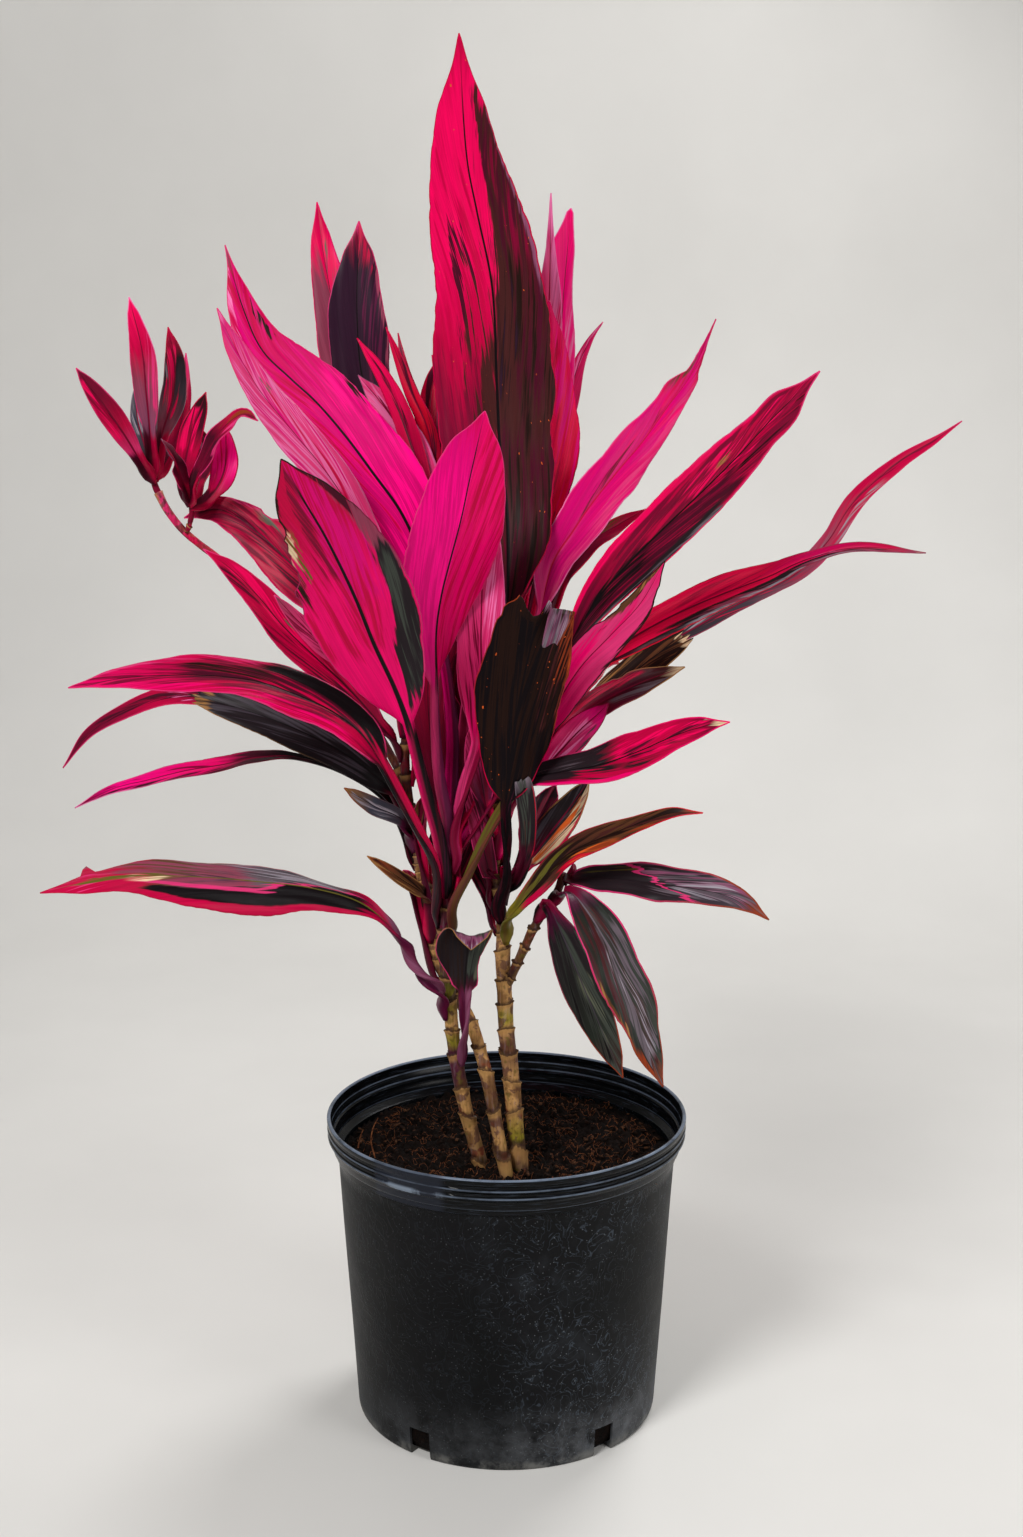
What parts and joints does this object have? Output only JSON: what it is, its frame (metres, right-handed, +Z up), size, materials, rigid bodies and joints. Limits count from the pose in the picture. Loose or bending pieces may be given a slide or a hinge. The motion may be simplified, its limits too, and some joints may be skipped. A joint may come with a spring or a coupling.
{
  "type": "ti plant",
  "caption": "Ti plant with upright pink, crimson and dark maroon leaves on ringed canes, growing in soil in a round black nursery pot.",
  "frame": {"origin": "middle of the pot's flat foot, on the surface that it stands on", "axes": "+Z up along the pot's axis, -Y towards the front that the picture shows, +X to the viewer's right"},
  "size_m": [0.7233, 0.4964, 1.0386],
  "materials": {
    "leaf": "satin leathery leaf, hot pink to crimson with dark maroon parts",
    "cane": "tan woody cane with ring scars",
    "pot": "scuffed black injection-moulded plastic",
    "soil": "dark potting mix of bark and peat with fine roots"
  },
  "bodies": {
    "root": {"cane_left": "cane", "cane_middle": "cane", "cane_right": "cane", "leaf_back_high_left": "leaf", "leaf_back_left": "leaf", "leaf_back_low": "leaf", "leaf_back_middle": "leaf", "leaf_back_right": "leaf", "leaf_back_upper": "leaf", "leaf_behind_brown": "leaf", "leaf_behind_front_pink": "leaf", "leaf_cream_margin": "leaf", "leaf_curled_low": "leaf", "leaf_drooping_broad": "leaf", "leaf_drooping_slim": "leaf", "leaf_far_left_folded": "leaf", "leaf_far_right_slim": "leaf", "leaf_front_pink": "leaf", "leaf_left_arching": "leaf", "leaf_left_broad": "leaf", "leaf_left_crimson": "leaf", "leaf_left_dark": "leaf", "leaf_left_dusty_small": "leaf", "leaf_left_red_strip": "leaf", "leaf_left_small_grey": "leaf", "leaf_left_thin_pink": "leaf", "leaf_low_left_arching": "leaf", "leaf_low_right_dark": "leaf", "leaf_right_brown": "leaf", "leaf_right_crimson": "leaf", "leaf_right_dry_tip": "leaf", "leaf_right_long_red": "leaf", "leaf_right_magenta": "leaf", "leaf_right_maroon": "leaf", "leaf_right_short_pink": "leaf", "leaf_right_twisted": "leaf", "leaf_rust_low": "leaf", "leaf_sheath_brown": "leaf", "leaf_strap_dark": "leaf", "leaf_striped_pink": "leaf", "leaf_tall_crimson": "leaf", "leaf_tall_spear": "leaf", "leaf_top_left_dark": "leaf", "leaf_top_left_dusty": "leaf", "leaf_torn_dark": "leaf", "leaf_upper_left_magenta": "leaf", "pot": "pot", "soil": "soil", "tip_far_left_lower": "leaf", "tip_far_left_upper": "leaf", "tip_left": "leaf", "tip_right": "leaf"}
  },
  "joints": []
}
